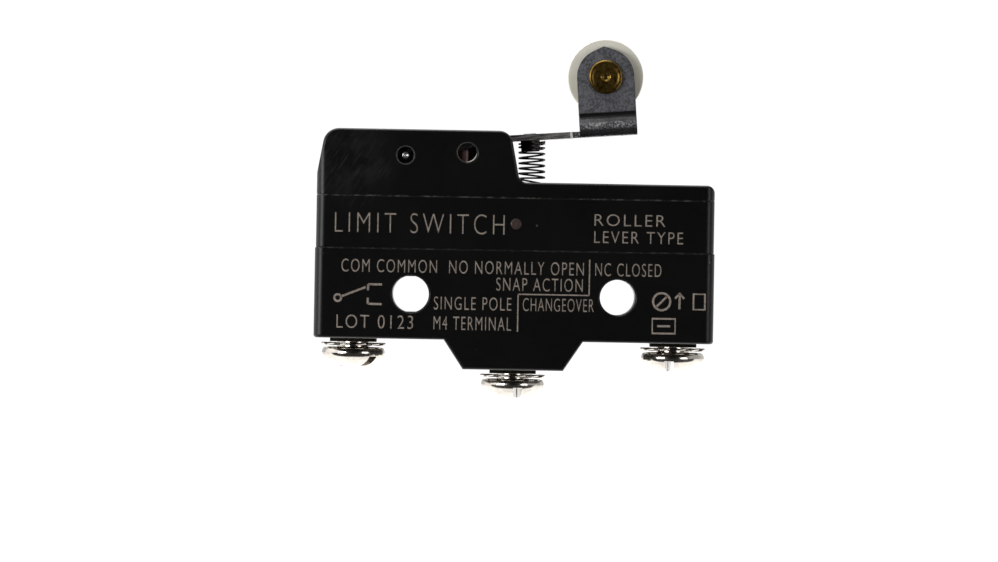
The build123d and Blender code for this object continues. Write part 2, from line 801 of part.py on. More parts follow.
def toothed_washer(x, z_block):
    """A ring with twisted teeth round its outside."""
    middle = z_block - washer_zone / 2
    ring = rod_z(0, washer_ring_r, middle - washer_ring_t / 2, middle + washer_ring_t / 2)
    ring -= rod_z(0, washer_in_r, middle - 1, middle + 1)
    tooth_length = washer_out_r - washer_ring_r + 0.3
    tooth = Pos(washer_out_r - tooth_length / 2, 0, 0) * Rot(tooth_twist, 0, 0)
    tooth *= Box(tooth_length, tooth_width, tooth_t)
    for step in range(tooth_count):
        ring += Pos(0, 0, middle) * Rot(0, 0, step * 360 / tooth_count) * tooth
    return Pos(x, 0, 0) * ring


def make_terminal_screws():
    places = zip(terminal_faces(), screw_turns)
    return Compound([terminal_screw(x, z, turn) for (x, z), turn in places])


def make_toothed_washers():
    return Compound([toothed_washer(x, z) for x, z in terminal_faces()])


pieces = {
    "case_base": make_case_base,
    "case_middle": make_case_middle,
    "actuator_housing": make_actuator_housing,
    "hinge_pin": make_hinge_pin,
    "lever": make_lever,
    "spring_seat": make_spring_seat,
    "roller": make_roller,
    "roller_axle": make_roller_axle,
    "return_spring": make_return_spring,
    "plunger": make_plunger,
    "terminal_com": make_terminal_com,
    "terminal_no": make_terminal_no,
    "terminal_nc": make_terminal_nc,
    "no_contact": make_no_contact,
    "nc_contact": make_nc_contact,
    "moving_contact": make_moving_contact,
    "blade_root": make_blade_root,
    "clamp_plate": make_clamp_plate,
    "clamp_rivet": make_clamp_rivet,
    "contact_blade": make_contact_blade,
    "drive_leaf": make_drive_leaf,
    "snap_tongue": make_snap_tongue,
    "tongue_post": make_tongue_post,
    "terminal_screws": make_terminal_screws,
    "toothed_washers": make_toothed_washers,
}

os.makedirs("parts", exist_ok=True)
for name, make in pieces.items():
    export_step(make(), f"parts/{name}.step")
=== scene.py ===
"""Limit switch with a hinged roller lever: finishes, turned and formed small pieces, printed
marks, light and camera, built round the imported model. Everything is in metres."""
import json
import math

import bmesh
import bpy
import numpy as np
from mathutils import Matrix, Vector


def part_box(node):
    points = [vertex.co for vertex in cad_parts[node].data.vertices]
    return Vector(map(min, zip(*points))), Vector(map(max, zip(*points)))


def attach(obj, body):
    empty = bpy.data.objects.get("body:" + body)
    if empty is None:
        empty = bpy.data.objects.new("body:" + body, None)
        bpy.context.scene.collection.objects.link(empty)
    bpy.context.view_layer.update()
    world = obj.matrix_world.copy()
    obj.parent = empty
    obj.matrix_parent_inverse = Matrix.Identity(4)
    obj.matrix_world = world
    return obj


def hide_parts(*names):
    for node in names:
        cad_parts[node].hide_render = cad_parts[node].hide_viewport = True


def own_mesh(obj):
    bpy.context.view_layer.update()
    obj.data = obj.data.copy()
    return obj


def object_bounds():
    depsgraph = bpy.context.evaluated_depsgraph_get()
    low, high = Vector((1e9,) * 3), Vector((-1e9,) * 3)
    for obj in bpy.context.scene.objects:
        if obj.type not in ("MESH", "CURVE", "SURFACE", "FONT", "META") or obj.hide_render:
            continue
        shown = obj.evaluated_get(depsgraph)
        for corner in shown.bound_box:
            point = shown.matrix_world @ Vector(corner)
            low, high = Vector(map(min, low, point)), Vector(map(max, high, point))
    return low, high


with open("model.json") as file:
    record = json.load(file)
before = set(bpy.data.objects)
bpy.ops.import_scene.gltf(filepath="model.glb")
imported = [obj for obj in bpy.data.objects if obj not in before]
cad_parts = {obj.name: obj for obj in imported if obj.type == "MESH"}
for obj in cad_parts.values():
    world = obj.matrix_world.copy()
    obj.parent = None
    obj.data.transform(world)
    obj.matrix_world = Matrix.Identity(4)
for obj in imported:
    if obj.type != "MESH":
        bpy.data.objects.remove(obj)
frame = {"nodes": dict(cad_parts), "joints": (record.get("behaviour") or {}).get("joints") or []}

cad_low, cad_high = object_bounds()
mm = 0.001

# --- places read from the frame -------------------------------------------------------------------
base_low, base_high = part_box("case_base")
middle_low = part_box("case_middle")[0]
housing_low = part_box("actuator_housing")[0]
roller_low, roller_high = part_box("roller")
axle_low, axle_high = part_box("roller_axle")
spring_low, spring_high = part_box("return_spring")
pin_low, pin_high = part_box("hinge_pin")
screws_low, screws_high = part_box("terminal_screws")
com_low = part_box("terminal_com")[0]
no_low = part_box("terminal_no")[0]
nc_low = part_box("terminal_nc")[0]

front_y = base_low.y
back_y = base_high.y
seam_low_z = middle_low.z
seam_high_z = housing_low.z + 0.9 * mm      # the housing's pegs reach this far below its seam
roller_centre = (roller_low + roller_high) / 2
pin_centre = (pin_low + pin_high) / 2
spring_centre = (spring_low + spring_high) / 2
hinge = next(j for j in frame["joints"] if j["name"] == "lever_hinge")
pivot = Vector(hinge["pos_m"])
rest_tilt = math.radians(4.23)
crease_height = 3.98 * mm            # above the pivot, square to the lever
strip_top = 1.78 * mm                # the lever's strip lies below this, in the same direction
ear_start = 1.9 * mm
notch_corner_x = 20.5 * mm           # along the lever from the pivot
bracket_start_x = 21.5 * mm


# --- meshes ---------------------------------------------------------------------------------------
def new_mesh_object(name, verts, faces):
    """A smooth-shaded object whose own place is the origin: its mesh holds its position."""
    mesh = bpy.data.meshes.new(name)
    mesh.from_pydata(np.asarray(verts, float).tolist(), [], faces)
    mesh.validate()
    mesh.polygons.foreach_set("use_smooth", [True] * len(mesh.polygons))
    obj = bpy.data.objects.new(name, mesh)
    bpy.context.scene.collection.objects.link(obj)
    return obj


def grid_faces(rows, columns, wrap_rows, wrap_columns):
    """The quads of a grid of points, as indices, with either direction closed on itself."""
    i = np.arange(rows if wrap_rows else rows - 1)
    j = np.arange(columns if wrap_columns else columns - 1)
    i, j = np.meshgrid(i, j, indexing="ij")
    up = (i + 1) % rows
    right = (j + 1) % columns
    corners = [i * columns + j, i * columns + right, up * columns + right, up * columns + j]
    return np.stack(corners, -1).reshape(-1, 4)


def surface(name, points, wrap_rows=False, wrap_columns=True, caps=True):
    """An object whose skin is a grid of points. Open ends of rows are closed with one face each."""
    rows, columns = points.shape[:2]
    faces = [tuple(f) for f in grid_faces(rows, columns, wrap_rows, wrap_columns).tolist()]
    if caps and not wrap_rows:
        faces.append(tuple(range(columns))[::-1])
        faces.append(tuple(range((rows - 1) * columns, rows * columns)))
    return new_mesh_object(name, points.reshape(-1, 3), faces)


def outward(obj):
    """Turns every face of a closed mesh to point out of it."""
    bm = bmesh.new()
    bm.from_mesh(obj.data)
    bmesh.ops.recalc_face_normals(bm, faces=bm.faces)
    bm.to_mesh(obj.data)
    bm.free()
    return obj


def lathe(profile, centre, axis="Y", steps=96):
    """A closed outline of (radius, height) turned about an axis: radius times cosine and sine
    across it, height along it. The outline runs from the axis back to the axis, or round a bore."""
    r, h = np.asarray(profile, float).T
    angle = np.linspace(0, 2 * np.pi, steps, endpoint=False)
    across = r[:, None] * np.cos(angle)
    up = r[:, None] * np.sin(angle)
    along = np.broadcast_to(h[:, None], across.shape)
    order = {"Y": (across, along, up), "Z": (across, up, along)}[axis]
    return np.stack(order, -1) + np.asarray(centre)


def turned(name, profile, centre, axis="Y", steps=96, bored=False):
    """A turned piece from its outline, closed at the axis or round its bore."""
    points = lathe(profile, centre, axis, steps)
    return outward(surface(name, points, wrap_rows=bored))


def rounded(corners, radius, steps=5):
    """A closed outline with each corner replaced by a curve: the quadratic arc between the
    points one radius before and one radius after it."""
    corners = np.asarray(corners, float)
    before = np.roll(corners, 1, 0) - corners
    after = np.roll(corners, -1, 0) - corners
    reach_before = np.linalg.norm(before, axis=1, keepdims=True)
    reach_after = np.linalg.norm(after, axis=1, keepdims=True)
    cut_before = np.minimum(radius, reach_before * 0.45)
    cut_after = np.minimum(radius, reach_after * 0.45)
    start = corners + before / reach_before * cut_before
    end = corners + after / reach_after * cut_after
    start, middle, end = (points[:, None] for points in (start, corners, end))
    t = np.linspace(0, 1, steps)[None, :, None]
    arc = (1 - t) ** 2 * start + 2 * t * (1 - t) * middle + t**2 * end
    return arc.reshape(-1, 2)


# --- shader groups --------------------------------------------------------------------------------
def new_group(name, inputs, outputs):
    """An empty shader group with named sockets."""
    group = bpy.data.node_groups.new(name, "ShaderNodeTree")
    for label, kind, value in inputs:
        socket = group.interface.new_socket(label, in_out="INPUT", socket_type=kind)
        socket.default_value = value
    for label, kind in outputs:
        group.interface.new_socket(label, in_out="OUTPUT", socket_type=kind)
    start = group.nodes.new("NodeGroupInput")
    end = group.nodes.new("NodeGroupOutput")
    return group, start, end


def math_node(tree, operation, a, b=None, c=None, clamp=False):
    """A Math node fed by sockets or numbers."""
    node = tree.nodes.new("ShaderNodeMath")
    node.operation = operation
    node.use_clamp = clamp
    for socket, value in zip(node.inputs, (a, b, c)):
        if value is None:
            continue
        if hasattr(value, "is_output"):
            tree.links.new(value, socket)
        else:
            socket.default_value = value
    return node.outputs[0]


def product(tree, first, *others):
    """All the values multiplied together."""
    for value in others:
        first = math_node(tree, "MULTIPLY", first, value)
    return first


def inverse(tree, value):
    """One less the value."""
    return math_node(tree, "SUBTRACT", 1.0, value)


def split(tree, vector):
    """A vector's parts, as sockets named X, Y and Z."""
    node = tree.nodes.new("ShaderNodeSeparateXYZ")
    tree.links.new(vector, node.inputs[0])
    return node.outputs


def texture_space(tree, vector, **settings):
    """A vector taken into a space with its own Location, Rotation and Scale of unit."""
    node = tree.nodes.new("ShaderNodeMapping")
    node.vector_type = "TEXTURE"
    for label, value in settings.items():
        node.inputs[label].default_value = value
    tree.links.new(vector, node.inputs["Vector"])
    return node.outputs["Vector"]


def smooth_step(tree, value, low, high):
    """0 below low, 1 above high, and smooth between."""
    node = tree.nodes.new("ShaderNodeMapRange")
    node.interpolation_type = "SMOOTHSTEP"
    tree.links.new(value, node.inputs["Value"])
    for label, edge in (("From Min", low), ("From Max", high)):
        if hasattr(edge, "is_output"):
            tree.links.new(edge, node.inputs[label])
        else:
            node.inputs[label].default_value = edge
    return node.outputs["Result"]


def noise(tree, vector, scale, detail=2.0, roughness=0.5):
    """A noise texture's value."""
    node = tree.nodes.new("ShaderNodeTexNoise")
    tree.links.new(vector, node.inputs["Vector"])
    if hasattr(scale, "is_output"):
        tree.links.new(scale, node.inputs["Scale"])
    else:
        node.inputs["Scale"].default_value = scale
    node.inputs["Detail"].default_value = detail
    node.inputs["Roughness"].default_value = roughness
    return node.outputs["Fac"]


def band(tree, value, low, high, soft):
    """One between two edges and zero outside, with soft ends."""
    rise = smooth_step(tree, value, low - soft, low + soft)
    fall = smooth_step(tree, value, high - soft, high + soft)
    return math_node(tree, "SUBTRACT", rise, fall)


def mix_colour(tree, factor, a, b):
    """A colour between two, by a factor."""
    node = tree.nodes.new("ShaderNodeMix")
    node.data_type = "RGBA"
    sockets = [s for s in node.inputs if s.enabled]
    for socket, value in zip(sockets, (factor, a, b)):
        if hasattr(value, "is_output"):
            tree.links.new(value, socket)
        else:
            socket.default_value = value
    return next(s for s in node.outputs if s.enabled)


def make_grain_group():
    """Fine grain: two sizes of noise added, as a value round a half."""
    group, start, end = new_group(
        "grain",
        [("Scale", "NodeSocketFloat", 3000.0), ("Coarse Share", "NodeSocketFloat", 0.4)],
        [("Grain", "NodeSocketFloat")],
    )
    place = group.nodes.new("ShaderNodeTexCoord").outputs["Object"]
    fine = noise(group, place, start.outputs["Scale"], 3.0, 0.6)
    coarse_scale = math_node(group, "MULTIPLY", start.outputs["Scale"], 0.13)
    coarse = noise(group, place, coarse_scale, 2.0)
    part = math_node(group, "MULTIPLY", coarse, start.outputs["Coarse Share"])
    rest = inverse(group, start.outputs["Coarse Share"])
    total = math_node(group, "MULTIPLY_ADD", fine, rest, part)
    group.links.new(total, end.inputs["Grain"])
    return group


def make_edge_group():
    """Softened edges: the normal is rounded over a radius, and the mask is one where
    the rounded normal leaves the flat one, broken up by noise. The mask carries edge wear and
    painted edge highlights, and on the lever's ears painted edge shade."""
    group, start, end = new_group(
        "edge_mask_and_rounding",
        [
            ("Radius", "NodeSocketFloat", 0.0001),
            ("Amount", "NodeSocketFloat", 1.0),
            ("Breakup", "NodeSocketFloat", 900.0),
        ],
        [("Mask", "NodeSocketFloat"), ("Normal", "NodeSocketVector")],
    )
    bevel = group.nodes.new("ShaderNodeBevel")
    bevel.samples = 6
    group.links.new(start.outputs["Radius"], bevel.inputs["Radius"])
    flat = group.nodes.new("ShaderNodeNewGeometry").outputs["Normal"]
    dot = group.nodes.new("ShaderNodeVectorMath")
    dot.operation = "DOT_PRODUCT"
    group.links.new(bevel.outputs["Normal"], dot.inputs[0])
    group.links.new(flat, dot.inputs[1])
    edge = smooth_step(group, inverse(group, dot.outputs["Value"]), 0.01, 0.2)
    place = group.nodes.new("ShaderNodeTexCoord").outputs["Object"]
    patchy = smooth_step(group, noise(group, place, start.outputs["Breakup"], 3.0), 0.35, 0.65)
    edge_wear_and_highlight = math_node(group, "MULTIPLY", edge, patchy)
    scaled = math_node(group, "MULTIPLY", edge_wear_and_highlight, start.outputs["Amount"], clamp=True)
    group.links.new(scaled, end.inputs["Mask"])
    group.links.new(bevel.outputs["Normal"], end.inputs["Normal"])
    return group


def make_dust_group():
    """Dust: small round specks, one in a share of the cells of a Voronoi pattern."""
    group, start, end = new_group(
        "dust",
        [
            ("Scale", "NodeSocketFloat", 500.0),
            ("Size", "NodeSocketFloat", 0.08),
            ("Share", "NodeSocketFloat", 0.1),
        ],
        [("Mask", "NodeSocketFloat")],
    )
    place = group.nodes.new("ShaderNodeTexCoord").outputs["Object"]
    cells = group.nodes.new("ShaderNodeTexVoronoi")
    group.links.new(place, cells.inputs["Vector"])
    group.links.new(start.outputs["Scale"], cells.inputs["Scale"])
    near = math_node(group, "LESS_THAN", cells.outputs["Distance"], start.outputs["Size"])
    parts = group.nodes.new("ShaderNodeSeparateColor")
    group.links.new(cells.outputs["Color"], parts.inputs[0])
    chosen = math_node(group, "LESS_THAN", parts.outputs[0], start.outputs["Share"])
    group.links.new(math_node(group, "MULTIPLY", near, chosen), end.inputs["Mask"])
    return group


grain_group = make_grain_group()
edge_group = make_edge_group()
dust_group = make_dust_group()


# --- materials ------------------------------------------------------------------------------------
def new_material(name, metallic, ior_level=0.5):
    """A material with its Principled shader, and the shader's plain sockets set."""
    material = bpy.data.materials.new(name)
    material.use_nodes = True
    tree = material.node_tree
    shader = next(n for n in tree.nodes if n.type == "BSDF_PRINCIPLED")
    shader.inputs["Metallic"].default_value = metallic
    shader.inputs["Specular IOR Level"].default_value = ior_level
    return material, tree, shader


def use_group(tree, group, **values):
    """Places a group and sets its inputs; underscores stand for spaces."""
    node = tree.nodes.new("ShaderNodeGroup")
    node.node_tree = group
    for label, value in values.items():
        node.inputs[label.replace("_", " ")].default_value = value
    return node


def bump(tree, shader, height, strength, distance, normal=None):
    """Feeds a height into the shader's normal."""
    node = tree.nodes.new("ShaderNodeBump")
    node.inputs["Strength"].default_value = strength
    node.inputs["Distance"].default_value = distance
    tree.links.new(height, node.inputs["Height"])
    if normal is not None:
        tree.links.new(normal, node.inputs["Normal"])
    tree.links.new(node.outputs["Normal"], shader.inputs["Normal"])


def set_roughness(tree, shader, factor, low, high):
    """Roughness that goes from low to high as the factor goes from zero to one."""
    span = tree.nodes.new("ShaderNodeMapRange")
    span.inputs["To Min"].default_value = low
    span.inputs["To Max"].default_value = high
    tree.links.new(factor, span.inputs["Value"])
    tree.links.new(span.outputs["Result"], shader.inputs["Roughness"])


def metal(name, base, edge_wear_and_highlight, rough_low, rough_high, grain_scale, edge_mm, bump_strength):
    """A metal whose colour and roughness vary with a grain, and whose edges are brighter: edge
    wear, with a painted highlight.
    """
    material, tree, shader = new_material(name, 1.0)
    grain = use_group(tree, grain_group, Scale=grain_scale).outputs["Grain"]
    edges = use_group(tree, edge_group, Radius=edge_mm * mm, Amount=0.8)
    shade = smooth_step(tree, grain, 0.3, 0.7)
    dark = tuple(c * 0.72 for c in base[:3]) + (1.0,)
    body = mix_colour(tree, shade, dark, base)
    # brighter edges: wear and a painted edge highlight
    tree.links.new(mix_colour(tree, edges.outputs["Mask"], body, edge_wear_and_highlight), shader.inputs["Base Color"])
    set_roughness(tree, shader, shade, rough_low, rough_high)
    bump(tree, shader, grain, bump_strength, 0.02 * mm, edges.outputs["Normal"])
    return material


def add_scuffs(tree, place, axes, body):
    """Slanting scuffs and a pale haze, both near the hood's left end."""
    slant = (0, math.radians(-58), 0)
    slanted = texture_space(tree, place, Rotation=slant, Scale=(1 / 330, 1 / 1500, 1 / 3300))
    streaks = smooth_step(tree, noise(tree, slanted, 1.0, 3.0, 0.6), 0.50, 0.72)
    dx = math_node(tree, "SUBTRACT", axes["X"], housing_low.x + 4.2 * mm)
    dz = math_node(tree, "SUBTRACT", axes["Z"], seam_high_z + 4.0 * mm)
    away = math_node(tree, "SQRT", math_node(tree, "MULTIPLY_ADD", dx, dx, product(tree, dz, dz)))
    near = inverse(tree, smooth_step(tree, away, 1.5 * mm, 7.0 * mm))
    body = mix_colour(tree, product(tree, streaks, near, 0.40), body, (0.06, 0.059, 0.056, 1))
    cloud = smooth_step(tree, noise(tree, place, 420.0, 5.0, 0.7), 0.35, 0.75)
    return mix_colour(tree, product(tree, near, cloud, 0.6), body, (0.022, 0.022, 0.021, 1))


def add_seam_lines(tree, place, axes, body):
    """Paler broken lines along the two seams, the upper one stronger."""
    for height, strength in ((seam_high_z, 1.0), (seam_low_z, 0.45)):
        off = math_node(tree, "ABSOLUTE", math_node(tree, "SUBTRACT", axes["Z"], height))
        seam = inverse(tree, smooth_step(tree, off, 0.03 * mm, 0.11 * mm))
        broken = smooth_step(tree, noise(tree, place, 900.0, 5.0, 0.75), 0.46, 0.60)
        body = mix_colour(tree, product(tree, seam, broken, strength), body, (0.10, 0.097, 0.09, 1))
    return body


def make_phenolic():
    """Near-black moulded phenolic: satin, finely pebbled, a little cloudy, with scuffs, seam lines,
    slightly brown edges that are partly wear and partly painted highlight, and dust."""
    material, tree, shader = new_material("phenolic", 0.0, 0.30)
    place = tree.nodes.new("ShaderNodeTexCoord").outputs["Object"]
    axes = split(tree, place)
    grain = use_group(tree, grain_group, Scale=5200.0, Coarse_Share=0.35).outputs["Grain"]
    edges = use_group(tree, edge_group, Radius=0.16 * mm, Amount=0.55, Breakup=700.0)
    specks = use_group(tree, dust_group, Scale=420.0, Size=0.055, Share=0.30).outputs["Mask"]

    cloudy = smooth_step(tree, noise(tree, place, 120.0, 4.0), 0.35, 0.7)
    body = mix_colour(tree, cloudy, (0.0012, 0.0012, 0.0013, 1), (0.0028, 0.0026, 0.0024, 1))
    body = add_scuffs(tree, place, axes, body)
    body = add_seam_lines(tree, place, axes, body)
    # slightly brown edges: wear and a painted edge highlight
    body = mix_colour(tree, edges.outputs["Mask"], body, (0.055, 0.047, 0.038, 1))
    body = mix_colour(tree, product(tree, specks, 0.5), body, (0.16, 0.155, 0.15, 1))
    tree.links.new(body, shader.inputs["Base Color"])
    set_roughness(tree, shader, grain, 0.27, 0.40)
    bump(tree, shader, grain, 0.22, 0.02 * mm, edges.outputs["Normal"])
    return material


def plastic(name, base, shade, roughness, ior_level, grain_scale, bump_strength):
    """A moulded plastic with slow variation of colour and a fine surface."""
    material, tree, shader = new_material(name, 0.0, ior_level)
    place = tree.nodes.new("ShaderNodeTexCoord").outputs["Object"]
    grain = use_group(tree, grain_group, Scale=grain_scale).outputs["Grain"]
    slow = smooth_step(tree, noise(tree, place, 260.0, 3.0), 0.35, 0.7)
    tree.links.new(mix_colour(tree, slow, base, shade), shader.inputs["Base Color"])
    set_roughness(tree, shader, grain, roughness - 0.07, roughness + 0.07)
    bump(tree, shader, grain, bump_strength, 0.02 * mm)
    return material


def make_ink():
    """Warm grey printing ink, a little patchy where it lies thin."""
    material, tree, shader = new_material("printing_ink", 0.0, 0.3)
    place = tree.nodes.new("ShaderNodeTexCoord").outputs["Object"]
    thin = smooth_step(tree, noise(tree, place, 4200.0, 3.0, 0.7), 0.3, 0.6)
    colour = mix_colour(tree, thin, (0.17, 0.145, 0.125, 1), (0.34, 0.29, 0.25, 1))
    tree.links.new(colour, shader.inputs["Base Color"])
    shader.inputs["Roughness"].default_value = 0.7
    return material


phenolic = make_phenolic()
ink = make_ink()
nylon = plastic(
    "nylon", (0.88, 0.85, 0.75, 1), (0.80, 0.77, 0.655, 1),
    roughness=0.45, ior_level=0.45, grain_scale=2600.0, bump_strength=0.15,
)
# painted light: the plunger is coloured lighter than its red-brown resin, to look lit inside the
# dark side hole
red_phenolic = plastic(
    "red_phenolic", (0.42, 0.17, 0.13, 1), (0.28, 0.10, 0.075, 1),
    roughness=0.25, ior_level=0.4, grain_scale=3500.0, bump_strength=0.2,
)
seal_paint = plastic(
    "seal_paint", (0.052, 0.034, 0.030, 1), (0.040, 0.026, 0.024, 1),
    roughness=0.35, ior_level=0.5, grain_scale=2500.0, bump_strength=0.2,
)
# pale resin for the burrs round the hole mouths: the paleness is a painted highlight
rim_resin_painted_highlight = plastic(
    "rim_resin_painted_highlight", (0.085, 0.080, 0.073, 1), (0.030, 0.028, 0.026, 1),
    roughness=0.6, ior_level=0.3, grain_scale=3500.0, bump_strength=0.3,
)
# near white: a painted highlight on the side hole's lower right rim
rim_highlight_paint = plastic(
    "rim_highlight_paint", (0.75, 0.73, 0.68, 1), (0.45, 0.44, 0.41, 1),
    roughness=0.35, ior_level=0.5, grain_scale=1500.0, bump_strength=0.4,
)
dark_steel = metal(
    "dark_steel", (0.060, 0.058, 0.055, 1), (0.2, 0.2, 0.2, 1),
    rough_low=0.35, rough_high=0.5, grain_scale=3600.0, edge_mm=0.06, bump_strength=0.3,
)
spring_steel = metal(
    "spring_steel", (0.11, 0.10, 0.09, 1), (0.25, 0.24, 0.22, 1),
    rough_low=0.28, rough_high=0.42, grain_scale=5200.0, edge_mm=0.03, bump_strength=0.1,
)
pin_steel = metal(
    "pin_steel", (0.62, 0.62, 0.62, 1), (0.9, 0.9, 0.9, 1),
    rough_low=0.18, rough_high=0.34, grain_scale=2600.0, edge_mm=0.05, bump_strength=0.2,
)
# brass painted dark as painted shade on the dished faces, with edges painted bright as painted
# highlights on the rims
rivet_brass_painted_light = metal(
    "rivet_brass_painted_light", (0.21, 0.13, 0.030, 1), (1.0, 0.86, 0.52, 1),
    rough_low=0.22, rough_high=0.40, grain_scale=2800.0, edge_mm=0.08, bump_strength=0.5,
)
nickel = metal(
    "nickel_plate", (0.66, 0.62, 0.57, 1), (0.80, 0.76, 0.70, 1),
    rough_low=0.09, rough_high=0.22, grain_scale=1500.0, edge_mm=0.08, bump_strength=0.15,
)
# brass painted near black: painted shade on the terminal blocks, which lie recessed under the case
terminal_brass_painted_dark = metal(
    "terminal_brass_painted_dark", (0.055, 0.048, 0.036, 1), (0.6, 0.56, 0.46, 1),
    rough_low=0.3, rough_high=0.55, grain_scale=1400.0, edge_mm=0.05, bump_strength=0.5,
)
strip_brass = metal(
    "strip_brass", (0.74, 0.60, 0.30, 1), (0.9, 0.8, 0.5, 1),
    rough_low=0.22, rough_high=0.42, grain_scale=2400.0, edge_mm=0.08, bump_strength=0.25,
)
spring_copper = metal(
    "spring_copper", (0.78, 0.46, 0.22, 1), (0.92, 0.66, 0.4, 1),
    rough_low=0.2, rough_high=0.36, grain_scale=2400.0, edge_mm=0.05, bump_strength=0.2,
)
silver = metal(
    "silver", (0.86, 0.86, 0.83, 1), (0.95, 0.95, 0.93, 1),
    rough_low=0.16, rough_high=0.34, grain_scale=2400.0, edge_mm=0.06, bump_strength=0.2,
)


def add_bend_bands(tree, grain, up, flat_side, body):
    """The bend below the crease, from the top down: painted shade, a dimmer painted shade, a
    grainy bright band that is partly scrapes in the plating and partly painted highlight, then
    painted shade on the underside.
    """
    # painted shade just below the crease
    shade = band(tree, up, crease_height - 0.80 * mm, crease_height - 0.04 * mm, 0.07 * mm)
    body = mix_colour(tree, product(tree, shade, flat_side, 0.98), body, (0.003, 0.003, 0.003, 1))
    # a dimmer painted shade below it
    dimmer_shade = band(tree, up, crease_height - 1.35 * mm, crease_height - 0.80 * mm, 0.10 * mm)
    body = mix_colour(tree, product(tree, dimmer_shade, flat_side, 0.85), body, (0.035, 0.035, 0.036, 1))
    # painted shade on the bend's underside
    lowest = smooth_step(tree, up, crease_height - 2.3 * mm, crease_height - 1.7 * mm)
    lowest = product(tree, inverse(tree, lowest), flat_side, 0.72)
    body = mix_colour(tree, lowest, body, (0.02, 0.02, 0.02, 1))
    # a grainy bright band: scrapes in the plating and a painted highlight
    scrape_and_highlight = band(tree, up, crease_height - 1.95 * mm, crease_height - 1.35 * mm, 0.25 * mm)
    scrape_and_highlight = product(tree, scrape_and_highlight, smooth_step(tree, grain, 0.46, 0.60))
    return mix_colour(tree, scrape_and_highlight, body, (0.60, 0.59, 0.58, 1))


def add_notch_shine(tree, grain, out, on_strip, colour):
    """A bright upright glint at the strip's rounded corner, and bright grains in the notch."""
    glint = band(tree, out, notch_corner_x - 0.16 * mm, notch_corner_x + 0.16 * mm, 0.10 * mm)
    cut = band(tree, out, notch_corner_x + 0.35 * mm, notch_corner_x + 1.05 * mm, 0.08 * mm)
    cut = product(tree, cut, smooth_step(tree, grain, 0.44, 0.58))
    shine = product(tree, math_node(tree, "MAXIMUM", glint, cut), on_strip)
    return mix_colour(tree, shine, colour, (1.0, 0.99, 0.97, 1))


def make_lever_steel():
    """Blackened pressed steel with a fine mottle, and painted shade on the rolled outlines of the
    ears. The sheared sides of the sheet are brighter, and streaked along the strip: they are found
    from the normal and from the place along the lever (out) and square to it (up). The bend
    carries painted shade and a painted highlight, the notch a painted glint, and the edges wear
    with a painted highlight."""
    material, tree, shader = new_material("blackened_steel", 0.35)
    place = tree.nodes.new("ShaderNodeTexCoord")
    grain = use_group(tree, grain_group, Scale=4200.0, Coarse_Share=0.3).outputs["Grain"]
    mottle = smooth_step(tree, grain, 0.38, 0.62)
    body = mix_colour(tree, mottle, (0.060, 0.062, 0.070, 1), (0.225, 0.228, 0.250, 1))

    along = texture_space(tree, place.outputs["Object"], Location=pivot, Rotation=(0, -rest_tilt, 0))
    out = split(tree, along)["X"]
    up = split(tree, along)["Z"]
    facing = math_node(tree, "ABSOLUTE", split(tree, place.outputs["Normal"])["Y"])
    on_strip = product(
        tree,
        math_node(tree, "GREATER_THAN", facing, 0.3),
        math_node(tree, "LESS_THAN", up, strip_top),
        math_node(tree, "LESS_THAN", out, bracket_start_x),
    )
    above_strip = math_node(tree, "GREATER_THAN", up, ear_start)
    ear_side = product(tree, math_node(tree, "LESS_THAN", facing, 0.25), above_strip)
    sheared = math_node(tree, "MAXIMUM", on_strip, ear_side)
    flat_side = math_node(tree, "GREATER_THAN", facing, 0.25)

    drawn = texture_space(tree, along, Scale=(1 / 500, 1 / 2500, 1 / 5200))
    streaks = smooth_step(tree, noise(tree, drawn, 1.0, 4.0, 0.6), 0.35, 0.68)
    bright = mix_colour(tree, streaks, (0.045, 0.044, 0.043, 1), (0.34, 0.33, 0.32, 1))
    body = add_bend_bands(tree, grain, up, flat_side, body)
    # painted shade along the rounded outlines of the ears
    rolled = use_group(tree, edge_group, Radius=0.26 * mm, Amount=2.6, Breakup=1.0).outputs["Mask"]
    outline = product(tree, rolled, product(tree, above_strip, flat_side))
    body = mix_colour(tree, outline, body, (0.02, 0.02, 0.022, 1))
    colour = mix_colour(tree, sheared, body, bright)
    colour = add_notch_shine(tree, grain, out, on_strip, colour)
    # paler edges: wear and a painted edge highlight
    edges = use_group(tree, edge_group, Radius=0.07 * mm, Amount=0.55, Breakup=1600.0)
    colour = mix_colour(tree, edges.outputs["Mask"], colour, (0.42, 0.41, 0.41, 1))
    tree.links.new(colour, shader.inputs["Base Color"])
    set_roughness(tree, shader, mottle, 0.58, 0.36)
    bump(tree, shader, grain, 0.75, 0.03 * mm, edges.outputs["Normal"])
    return material


blackened = make_lever_steel()

finish_of = {
    "case_base": phenolic,
    "case_middle": phenolic,
    "actuator_housing": phenolic,
    "hinge_pin": pin_steel,
    "lever": blackened,
    "spring_seat": dark_steel,
    "roller": nylon,
    "roller_axle": rivet_brass_painted_light,
    "return_spring": spring_steel,
    "plunger": red_phenolic,
    "terminal_com": terminal_brass_painted_dark,
    "terminal_no": terminal_brass_painted_dark,
    "terminal_nc": terminal_brass_painted_dark,
    "no_contact": silver,
    "nc_contact": silver,
    "moving_contact": silver,
    "blade_root": spring_copper,
    "clamp_plate": strip_brass,
    "clamp_rivet": strip_brass,
    "contact_blade": spring_copper,
    "drive_leaf": spring_copper,
    "snap_tongue": spring_copper,
    "tongue_post": strip_brass,
    "terminal_screws": nickel,
    "toothed_washers": nickel,
}
for node_name, finish in finish_of.items():
    node = frame["nodes"][node_name]
    node.data.materials.clear()
    node.data.materials.append(finish)


